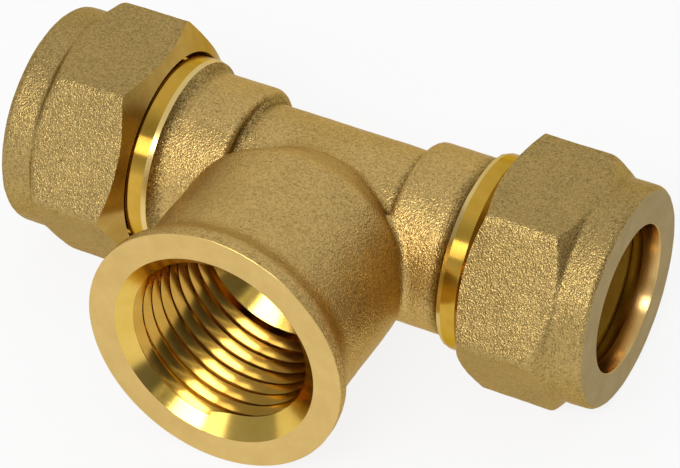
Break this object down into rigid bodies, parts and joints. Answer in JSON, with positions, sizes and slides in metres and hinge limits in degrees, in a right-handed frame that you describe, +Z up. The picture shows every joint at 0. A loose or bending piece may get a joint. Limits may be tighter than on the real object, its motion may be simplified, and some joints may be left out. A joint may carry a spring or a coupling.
{
  "type": "compression tee fitting",
  "caption": "Brass tee for a water pipe: a straight run with hexagon compression nuts and olives on its pipe ends, and a flanged branch with an inside thread.",
  "frame": {"origin": "under the middle of the whole part, level with the lowest point of the flange", "axes": "+X along the run, -Y out of the branch, +Z up"},
  "size_m": [0.0662, 0.04, 0.0282],
  "materials": {
    "forged_brass": "forged and blasted, with turned ends",
    "nut_brass": "forged and blasted, with turned ends",
    "olive_brass": "bright turned"
  },
  "bodies": {
    "body": {"tee_body": "forged_brass"},
    "left_olive": {"olive_left": "olive_brass"},
    "left_nut": {"nut_left": "nut_brass"},
    "right_olive": {"olive_right": "olive_brass"},
    "right_nut": {"nut_right": "nut_brass"}
  },
  "joints": [
    {"name": "left_olive_slide", "type": "slide", "parent": "body", "child": "left_olive", "axis": [-1, 0, 0], "range_m": [0, 0.0046]},
    {"name": "left_nut_turn", "type": "hinge", "parent": "left_olive", "child": "left_nut", "pos_m": [-0.026, 0.00633, 0.01412], "axis": [-1, 0, 0], "range_deg": [0, 900]},
    {"name": "right_olive_slide", "type": "slide", "parent": "body", "child": "right_olive", "axis": [1, 0, 0], "range_m": [0, 0.0046]},
    {"name": "right_nut_turn", "type": "hinge", "parent": "right_olive", "child": "right_nut", "pos_m": [0.026, 0.00633, 0.01412], "axis": [1, 0, 0], "range_deg": [0, 900]}
  ],
  "couplings": [
    {"joint": "left_olive_slide", "follows": "left_nut_turn", "m_per_rad": 0.00028871},
    {"joint": "right_olive_slide", "follows": "right_nut_turn", "m_per_rad": 0.00028871}
  ]
}
